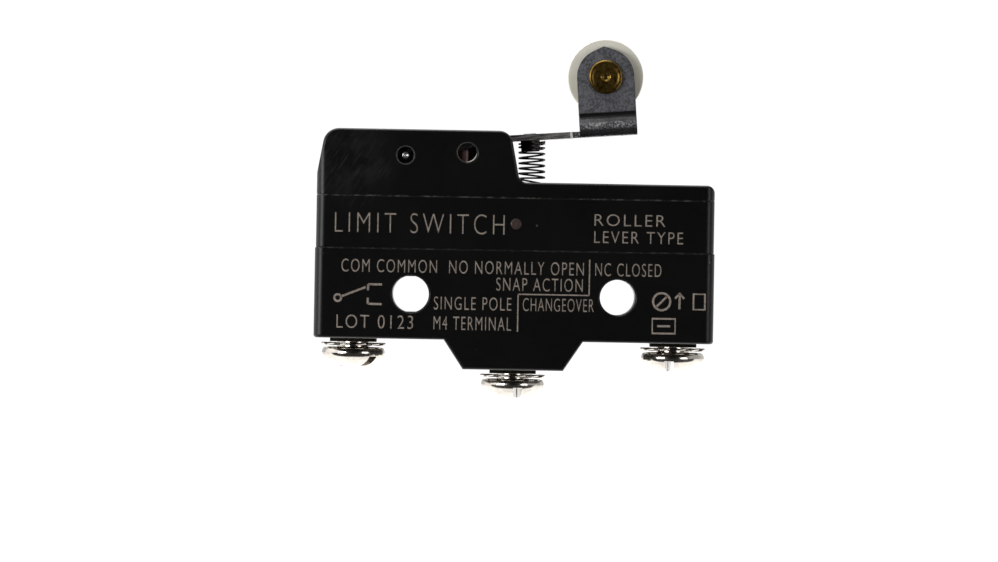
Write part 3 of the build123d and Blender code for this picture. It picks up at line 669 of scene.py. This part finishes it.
def place_piece(obj, body, slot, material, *nodes):
    """Gives a new piece its finish and its body, and the CAD nodes that it stands for. Its
    slot is not used.
    """
    obj.data.materials.clear()
    obj.data.materials.append(material)
    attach(obj, body)
    if nodes:
        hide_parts(*nodes)
    return obj


# --- return spring --------------------------------------------------------------------------------
spring_wire = 0.24 * mm
spring_turn_marks = [-3.2, -2.2, -1.1, -0.5, 0.0, 4.0, 5.0, 5.5, 6.0, 6.5, 7.0]
spring_height_marks = [0.00, 0.26, 0.80, 1.62, 1.88, 4.60, 5.32, 5.62, 5.87, 6.02, 6.10]
spring_tilt_turns = [-3.2, 0.0, 4.0, 7.0]
spring_tilt_marks = [0.0, -0.047, 0.076, 0.076]


def make_spring():
    """Coiled wire: x and y go round a circle, height follows the turns, and each turn leans in X
    by its own tilt, so the coils fan out. The middle of the coils drifts left going up."""
    turns = np.linspace(spring_turn_marks[0], spring_turn_marks[-1], 720)
    height = np.interp(turns, spring_turn_marks, spring_height_marks)
    window = np.hanning(61)
    padded = np.pad(height, len(window) // 2, mode="reflect", reflect_type="odd")
    height = np.convolve(padded, window / window.sum(), mode="valid") * mm
    tilt = np.interp(turns, spring_tilt_turns, spring_tilt_marks)
    coil_r = (spring_high.x - spring_low.x - spring_wire) / 2
    angle = turns * 2 * np.pi
    middle_x = spring_centre.x + 0.05 * mm - 0.016 * (height - 2.0 * mm)
    path_x = middle_x + coil_r * np.cos(angle)
    path_y = -coil_r * np.sin(angle)
    path_z = spring_low.z + spring_wire / 2 + height + coil_r * np.cos(angle) * tilt
    path = np.stack([path_x, path_y, path_z], -1)
    outward_x = np.stack([np.cos(angle), -np.sin(angle), tilt * np.cos(angle)], -1)
    round_wire = np.linspace(0, 2 * np.pi, 12, endpoint=False)
    across = np.cos(round_wire)[None, :, None] * outward_x[:, None]
    up = np.sin(round_wire)[None, :, None] * np.array([0.0, 0.0, 1.0])
    points = path[:, None] + (across + up) * spring_wire / 2
    return outward(surface("spring_coil", points))


spring = place_piece(make_spring(), "body", "spring_steel", spring_steel, "return_spring")
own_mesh(spring)


# --- roller, its rivet and the hinge pin ----------------------------------------------------------
def turned_on(name, profile, centre, bored=False):
    """A turned piece on an axis along Y, from an outline in millimetres."""
    return turned(name, np.asarray(profile) * mm, centre, "Y", 128, bored)


def make_roller():
    """Flat faces, rounded rims and a bore. Two corners on the tread keep its shading flat."""
    r = (roller_high.z - roller_low.z) / 2 / mm
    half = (roller_high.y - roller_low.y) / 2 / mm
    bore = 1.55
    corners = [(bore, -half), (r, -half), (r, -0.05), (r, 0.05), (r, half), (bore, half)]
    outline = rounded(corners, 0.16, 5)
    return turned_on("roller_wheel", outline, roller_centre, bored=True)


def head_outline(r, thick, dimple_r, dimple, dish):
    """Half of a rivet's head to its edge: dimple, dished face and rolled rim. The first corner,
    on the axis, only shapes the curve and is left out."""
    corners = [
        (0.0, thick - dish - dimple),
        (dimple_r * 0.55, thick - dish - dimple),
        (dimple_r, thick - dish),
        (r - 0.62, thick - dish * 0.75),
        (r - 0.38, thick),
        (r - 0.16, thick),
        (r, thick - 0.2),
        (r, 0.0),
    ]
    steps = 5
    return rounded(corners, 0.14, steps)[steps:]


def make_rivet():
    """A solid brass rivet with the same dished head at both ends."""
    half = (axle_high.y - axle_low.y) / 2 / mm
    r = (axle_high.x - axle_low.x) / 2 / mm
    thick = 0.55
    dimple_r, dimple, dish = 0.55, 0.22, 0.10
    shank_r = 1.45
    head = head_outline(r, thick, dimple_r, dimple, dish)
    middle = np.array([(0.0, thick - dimple - dish)])
    top = np.concatenate([middle, head])
    top = np.stack([top[:, 0], top[:, 1] + half - thick], -1)
    shank = np.array([(shank_r, half - thick), (shank_r, -(half - thick))])
    bottom = top[::-1] * [1, -1]
    outline = np.concatenate([top, shank, bottom])
    return turned_on("axle_rivet", outline, (axle_low + axle_high) / 2)


def make_pin():
    """A steel pin with a small domed and dimpled nub standing on each end."""
    half = (pin_high.y - pin_low.y) / 2 / mm
    r = (pin_high.x - pin_low.x) / 2 / mm
    end = [
        (0.0, half - 0.10),
        (0.12, half - 0.09),
        (0.20, half - 0.02),
        (0.30, half),
        (0.42, half - 0.05),
        (0.52, half - 0.20),
        (0.56, half - 0.62),
        (r - 0.12, half - 0.70),
        (r, half - 0.84),
    ]
    outline = np.concatenate([end, np.array(end)[::-1] * [1, -1]])
    return turned_on("pin_turned", outline, pin_centre)


place_piece(make_roller(), "roller_body", "nylon", nylon, "roller")
place_piece(make_rivet(), "lever_body", "brass_rivet", rivet_brass_painted_light, "roller_axle")
place_piece(make_pin(), "body", "steel_pin", pin_steel, "hinge_pin")


# --- terminal screws and washers ------------------------------------------------------------------
cad_head_r = 3.9 * mm
outer_x = (screws_high.x - screws_low.x) / 2 - cad_head_r
screw_places = [
    Vector((-outer_x, 0, com_low.z)),
    Vector((0, 0, no_low.z)),
    Vector((outer_x, 0, nc_low.z)),
]
screw_turns = [math.radians(turn) for turn in (-50.0, 100.0, 83.0)]
washer_room = 0.65 * mm

# in millimetres: screws and their washers about their own middles, heads down
screw_r = 1.98
screw_length = 5.6
head_height = 2.35
slot_half_width = 0.56
slot_floor = 1.12
cross_half_width = 0.36
cross_half_length = 1.75
cross_floor = 0.85
cross_flare = 1.35
washer_bore_r = 2.15
tooth_root_r = 3.1
tooth_tip_r = 4.0
washer_half = 0.15
washer_drop = 0.33
tooth_half = 0.66                    # share of a tooth's pitch that the tooth fills


def box_cutter(name, half_x, half_y, low, high, flare=1.0):
    """A box in millimetres about the Z axis; its lower end may be wider than its upper by a
    factor."""
    x = np.array([-half_x, half_x, half_x, -half_x])
    y = np.array([-half_y, -half_y, half_y, half_y])
    bottom = np.stack([x * flare, y * flare, np.full(4, low)], -1)
    top = np.stack([x, y, np.full(4, high)], -1)
    return outward(surface(name, np.stack([bottom, top]) * mm))


def carve(obj, cutters):
    """Cuts solids out of a mesh and bakes the result into it."""
    for cutter in cutters:
        cut = obj.modifiers.new("cut", "BOOLEAN")
        cut.operation = "DIFFERENCE"
        cut.solver = "EXACT"
        cut.object = cutter
    bpy.context.view_layer.update()
    graph = bpy.context.evaluated_depsgraph_get()
    carved = bpy.data.meshes.new_from_object(obj.evaluated_get(graph))
    obj.modifiers.clear()
    obj.data = carved
    for cutter in cutters:
        bpy.data.objects.remove(cutter)
    return obj


def make_screw(name, place, turn):
    """A pan-head screw, head down: a turned outline with a slot and a cross recess cut into it."""
    corners = [
        (0.0, screw_length),
        (screw_r, screw_length),
        (screw_r, 0.0),
        (3.66, 0.0),
        (3.92, -0.60),
        (3.80, -1.45),
        (2.3, -head_height),
        (0.0, -head_height),
    ]
    steps = 8
    head = rounded(corners, 0.85, steps)[3 * steps:7 * steps]
    shank = [(0.0, screw_length), (1.7, screw_length), (screw_r, 5.3), (screw_r, 0.0)]
    outline = np.concatenate([shank, head, [(0.0, -head_height)]])
    screw = turned(name, outline * mm, (0, 0, 0), "Z", 160)
    slot = box_cutter("slot", 5, slot_half_width, -3, -slot_floor)
    cross = box_cutter("cross", cross_half_width, cross_half_length, -3, -cross_floor, cross_flare)
    carve(screw, [slot, cross])
    seat = Matrix.Translation(place - Vector((0, 0, washer_room)))
    screw.data.transform(seat @ Matrix.Rotation(turn, 4, "Z"))
    screw.data.polygons.foreach_set("use_smooth", [True] * len(screw.data.polygons))
    screw.data.set_sharp_from_angle(angle=math.radians(35))
    edge = screw.modifiers.new("edge", "BEVEL")
    edge.width = 0.05 * mm
    edge.segments = 2
    edge.limit_method = "ANGLE"
    edge.angle_limit = math.radians(38)
    edge.harden_normals = True
    return screw


def make_washer(name, place):
    """A ring whose outer part is cut into teeth, each twisted about its own middle: round a closed
    section, radius runs out and back, and height is the twist plus or minus half the thickness."""
    teeth = 12
    angle = np.linspace(0, 2 * np.pi, teeth * 36, endpoint=False)
    phase = (angle * teeth / (2 * np.pi)) % 1.0 * 2 - 1
    inside = np.clip((tooth_half - np.abs(phase)) / 0.06, 0, 1)
    out_r = tooth_root_r + (tooth_tip_r - tooth_root_r) * inside * inside * (3 - 2 * inside)
    along = np.array([0.0, 0.12, 0.35, 0.6, 0.85, 1.0])
    radius = washer_bore_r + np.outer(out_r - washer_bore_r, along)
    lean = np.clip((radius - 2.9) / 1.1, 0, 1)
    twist = 0.075 * lean * (phase / tooth_half)[:, None] + 0.05 * lean
    half = washer_half - 0.05 * (along == 1.0)
    lower = np.stack([radius, twist - half], -1)
    upper = np.stack([radius, twist + half], -1)[:, ::-1]
    section = np.concatenate([lower, upper], 1)
    r, z = section[..., 0], section[..., 1]
    x = r * np.cos(angle)[:, None]
    y = r * np.sin(angle)[:, None]
    points = np.stack([x, y, z - washer_drop], -1) * mm + np.asarray(place)
    return outward(surface(name, points, wrap_rows=True))


for number, (place, turn) in enumerate(zip(screw_places, screw_turns)):
    replaced = (["terminal_screws"], ["toothed_washers"]) if number == 0 else ([], [])
    screw = make_screw(f"screw_{number + 1}", place, turn)
    place_piece(screw, "body", "nickel_plate", nickel, *replaced[0])
    washer = make_washer(f"washer_{number + 1}", place)
    place_piece(washer, "body", "nickel_plate", nickel, *replaced[1])


# --- hole rims, a painted highlight on one of them, and the paint dot -----------------------------
pin_rim_r = 1.12
side_rim_r = 1.22
rim_highlight_r = 1.16
rim_width = 0.09
side_hole = Vector((-6.02 * mm, 0, 17.46 * mm))
dot_place = (0.1 * mm, front_y, 8.8 * mm)


def make_rim(name, hole, r, face_y):
    """A thin raised burr round the mouth of a hole: a small closed section turned about Y."""
    angle = np.linspace(0, 2 * np.pi, 9, endpoint=False)
    section = np.stack([r + rim_width / 2 * np.cos(angle), 0.018 * np.sin(angle)], -1)
    return turned(name, section * mm, (hole.x, face_y, hole.z), "Y", 96, True)


def make_rim_highlight(hole, r, width, first_turn, last_turn):
    """A short crescent on a hole's rim, thin at its ends: a painted highlight."""
    steps = 40
    angle = np.linspace(first_turn, last_turn, steps)[:, None] * 2 * np.pi
    share = np.sin(np.linspace(0, np.pi, steps))[:, None] + 0.02
    section = np.linspace(0, 2 * np.pi, 8, endpoint=False)
    radius = r + width / 2 * share * np.cos(section)
    depth = 0.03 * share * np.sin(section)
    ring_points = np.stack([radius * np.cos(angle), depth, radius * np.sin(angle)], -1)
    return outward(surface("painted_rim_highlight", ring_points * mm + np.array([hole.x, front_y, hole.z])))


# the rims are paler than the body: a painted highlight
for label, face_y in (("front", front_y), ("back", back_y)):
    pin_rim = make_rim(f"pin_hole_rim_{label}", pivot, pin_rim_r, face_y)
    place_piece(pin_rim, "body", "phenolic", rim_resin_painted_highlight)
side_rim = make_rim("side_hole_rim", side_hole, side_rim_r, front_y)
place_piece(side_rim, "body", "phenolic", rim_resin_painted_highlight)
# a painted highlight on the side hole's lower right rim
rim_highlight_piece = make_rim_highlight(side_hole, rim_highlight_r, 0.16, 0.72, 0.99)
place_piece(rim_highlight_piece, "body", "phenolic", rim_highlight_paint)

dot_outline = [
    (0.0, -0.035), (0.35, -0.033), (0.55, -0.024), (0.64, -0.008), (0.655, 0.01), (0.0, 0.01),
]
dot = turned_on("paint_dot", dot_outline, dot_place)
place_piece(dot, "body", "red_phenolic", seal_paint)

# --- printed marks --------------------------------------------------------------------------------
print_lift = 0.012 * mm
stroke_width = 0.26


def lettering(text, left, right, low, high, thin=0.008, spread=1.2):
    """Flat letters filling a width and a height, as points in X and Z and faces."""
    curve = bpy.data.curves.new("letters", "FONT")
    curve.body = text
    curve.resolution_u = 6
    curve.offset = -thin
    curve.space_character = spread
    letters = bpy.data.objects.new("letters", curve)
    bpy.context.scene.collection.objects.link(letters)
    bpy.context.view_layer.update()
    graph = bpy.context.evaluated_depsgraph_get()
    mesh = bpy.data.meshes.new_from_object(letters.evaluated_get(graph))
    points = np.empty(len(mesh.vertices) * 3)
    mesh.vertices.foreach_get("co", points)
    points = points.reshape(-1, 3)[:, :2]
    faces = [tuple(face.vertices) for face in mesh.polygons]
    bpy.data.objects.remove(letters)
    bpy.data.curves.remove(curve)
    bpy.data.meshes.remove(mesh)
    span = points.max(0) - points.min(0)
    size = np.array([right - left, high - low])
    return (points - points.min(0)) / span * size + [left, low], faces


def line(corners, width=stroke_width, closed=False):
    """A band of even width along a run of corners: each corner is moved out and in along the
    mean of its neighbours' side directions."""
    corners = np.asarray(corners, float)
    if closed:
        ahead = np.roll(corners, -1, 0) - np.roll(corners, 1, 0)
    else:
        ahead = np.gradient(corners, axis=0)
    ahead = ahead / np.linalg.norm(ahead, axis=1, keepdims=True)
    side = np.stack([-ahead[:, 1], ahead[:, 0]], -1) * width / 2
    points = np.concatenate([corners + side, corners - side])
    count = len(corners)
    steps = range(count if closed else count - 1)
    faces = [(i, count + i, count + (i + 1) % count, (i + 1) % count) for i in steps]
    return points, faces


def ring(x, z, r, width=stroke_width):
    """A printed circle."""
    angle = np.linspace(0, 2 * np.pi, 40, endpoint=False)
    return line(np.stack([x + r * np.cos(angle), z + r * np.sin(angle)], -1), width, True)


def make_print(name, marks):
    """All the flat marks in one thin solid mesh on the front face."""
    verts, faces = [], []
    for points, mark_faces in marks:
        first = len(verts)
        verts.extend((x * mm, front_y - print_lift, z * mm) for x, z in points)
        faces.extend(tuple(first + i for i in face) for face in mark_faces)
    obj = new_mesh_object(name, verts, faces)
    obj.data.polygons.foreach_set("use_smooth", [False] * len(obj.data.polygons))
    ink_film = obj.modifiers.new("film", "SOLIDIFY")
    ink_film.thickness = 0.008 * mm
    return obj


marks = [
    lettering("LIMIT SWITCH", -22.1, -1.3, 7.45, 9.9, 0.018, 1.3),
    lettering("ROLLER", 9.7, 18.4, 8.75, 10.2),
    lettering("LEVER TYPE", 9.7, 20.6, 6.65, 8.1),
    lettering("COM COMMON  NO NORMALLY OPEN", -21.2, 8.5, 2.6, 4.2),
    lettering("NC CLOSED", 9.9, 18.0, 2.6, 4.2),
    lettering("SNAP ACTION", -2.2, 8.4, 0.6, 2.2),
    lettering("SINGLE POLE", -9.8, -0.3, -1.85, -0.25),
    lettering("CHANGEOVER", 1.1, 9.8, -1.85, -0.25, 0.01, 1.15),
    lettering("LOT 0123", -21.7, -12.3, -4.3, -2.65),
    lettering("M4 TERMINAL", -9.8, -0.3, -4.3, -2.65),
    line([(9.2, 4.6), (9.2, 0.2)], 0.16),
    line([(9.2, 0.2), (0.5, 0.2)], 0.16),
    line([(0.5, 0.2), (0.5, -4.4)], 0.16),
]
# changeover contact: a moving arm between two fixed points
marks += [
    ring(-21.6, -0.6, 0.42),
    line([(-21.2, -0.45), (-18.2, 0.75)]),
    line([(-17.9, 1.1), (-17.9, 0.35)]),
    line([(-17.9, 1.1), (-16.2, 1.1)]),
    line([(-17.9, -0.55), (-17.9, -1.3)]),
    line([(-17.9, -1.3), (-16.2, -1.3)]),
]
# a screw head, a way to turn it, and a slotted plate
marks += [
    ring(18.1, -0.4, 1.05),
    line([(17.5, -1.0), (18.7, 0.2)]),
    line([(20.3, -1.3), (20.3, 0.6)]),
    line([(19.75, 0.0), (20.3, 0.65), (20.85, 0.0)]),
    line([(22.0, -1.3), (23.4, -1.3), (23.4, 0.6), (22.0, 0.6)], closed=True),
    line([(17.0, -4.3), (19.8, -4.3), (19.8, -2.5), (17.0, -2.5)], closed=True),
    line([(17.6, -3.4), (19.2, -3.4)]),
]
printing = make_print("printed_marks", marks)
place_piece(printing, "body", "nylon", ink)


# --- stage, light and camera ----------------------------------------------------------------------
floor_size = 8.0
floor_drop = 32 * mm
floor_bright_y = 16 * mm
floor_dark_y = 46 * mm
camera_x = -1.87 * mm
camera_z = 1.78 * mm
camera_distance = 1500 * mm
camera_lens = 441.6
camera_roll = math.radians(1.02)


def make_stage():
    """A large pale floor some way below the switch. In front of the switch it is dark to light
    and reflections, past a short way; the camera sees all of it pale."""
    bpy.ops.mesh.primitive_plane_add(size=floor_size, location=(0, 0, cad_low.z - floor_drop))
    floor = bpy.context.object
    floor.name = "floor"
    material, tree, shader = new_material("pale_floor", 0.0, 0.1)
    shader.inputs["Base Color"].default_value = (0.93, 0.93, 0.92, 1)
    shader.inputs["Roughness"].default_value = 0.9
    shader.inputs["Emission Color"].default_value = (1, 1, 1, 1)
    shader.inputs["Emission Strength"].default_value = 0.55
    dark = tree.nodes.new("ShaderNodeBsdfDiffuse")
    dark.inputs["Color"].default_value = (0.03, 0.03, 0.03, 1)
    place = tree.nodes.new("ShaderNodeTexCoord").outputs["Object"]
    forward = product(tree, split(tree, place)["Y"], -1.0)
    far = smooth_step(tree, forward, floor_bright_y, floor_dark_y)
    path = tree.nodes.new("ShaderNodeLightPath")
    unseen = inverse(tree, path.outputs["Is Camera Ray"])
    choose = tree.nodes.new("ShaderNodeMixShader")
    tree.links.new(product(tree, far, unseen), choose.inputs[0])
    tree.links.new(shader.outputs[0], choose.inputs[1])
    tree.links.new(dark.outputs[0], choose.inputs[2])
    out = next(n for n in tree.nodes if n.type == "OUTPUT_MATERIAL")
    tree.links.new(choose.outputs[0], out.inputs["Surface"])
    floor.data.materials.append(material)


def make_world():
    """White to the camera. For light and reflections it is bright above and round the switch's
    ends and behind, brighter at the left end, and dark on the camera's side."""
    world = bpy.data.worlds.new("studio")
    bpy.context.scene.world = world
    world.use_nodes = True
    tree = world.node_tree
    tree.nodes.clear()
    out = tree.nodes.new("ShaderNodeOutputWorld")
    seen = tree.nodes.new("ShaderNodeBackground")
    seen.inputs["Color"].default_value = (1, 1, 1, 1)
    seen.inputs["Strength"].default_value = 1.05
    lit = tree.nodes.new("ShaderNodeBackground")
    lit.inputs["Strength"].default_value = 1.0
    axes = split(tree, tree.nodes.new("ShaderNodeTexCoord").outputs["Generated"])
    dim = smooth_step(tree, product(tree, axes["Y"], -1.0), 0.30, 0.72)
    rightward = smooth_step(tree, axes["X"], -0.6, 0.5)
    side = mix_colour(tree, rightward, (1.85, 1.83, 1.78, 1), (0.56, 0.56, 0.56, 1))
    behind = smooth_step(tree, axes["Y"], 0.25, 0.70)
    side = mix_colour(tree, behind, side, (0.75, 0.75, 0.74, 1))
    tree.links.new(mix_colour(tree, dim, side, (0.012, 0.012, 0.012, 1)), lit.inputs["Color"])
    choose = tree.nodes.new("ShaderNodeMixShader")
    path = tree.nodes.new("ShaderNodeLightPath")
    tree.links.new(path.outputs["Is Camera Ray"], choose.inputs[0])
    tree.links.new(lit.outputs[0], choose.inputs[1])
    tree.links.new(seen.outputs[0], choose.inputs[2])
    tree.links.new(choose.outputs[0], out.inputs["Surface"])


def soft_light(name, place, target, width, height, power, colour=(1, 1, 1)):
    """A soft box aimed at a point."""
    lamp = bpy.data.lights.new(name, "AREA")
    lamp.shape = "RECTANGLE"
    lamp.size = width
    lamp.size_y = height
    lamp.energy = power
    lamp.color = colour
    obj = bpy.data.objects.new(name, lamp)
    obj.location = place
    obj.rotation_euler = (Vector(target) - Vector(place)).to_track_quat("-Z", "Y").to_euler()
    bpy.context.scene.collection.objects.link(obj)


def make_camera():
    """Square on to the printed face, as far off as the perspective shows, and turned a degree."""
    data = bpy.data.cameras.new("camera")
    data.lens = camera_lens
    data.clip_start = 0.01
    camera = bpy.data.objects.new("camera", data)
    camera.location = (camera_x, front_y - camera_distance, camera_z)
    camera.rotation_euler = (math.radians(90), 0, 0)
    camera.rotation_euler.rotate_axis("Z", camera_roll)
    bpy.context.scene.collection.objects.link(camera)
    bpy.context.scene.camera = camera


make_stage()
make_world()
middle_point = (0, 0, 8 * mm)
soft_light("top_box", (-0.05, 0.06, 0.36), middle_point, 0.30, 0.30, 1.2)
soft_light("left_box", (-0.34, -0.36, 0.04), middle_point, 0.26, 0.12, 0.95)
soft_light("right_box", (0.36, -0.38, 0.04), middle_point, 0.22, 0.12, 0.35)
make_camera()
bpy.context.scene.view_settings.view_transform = "Standard"
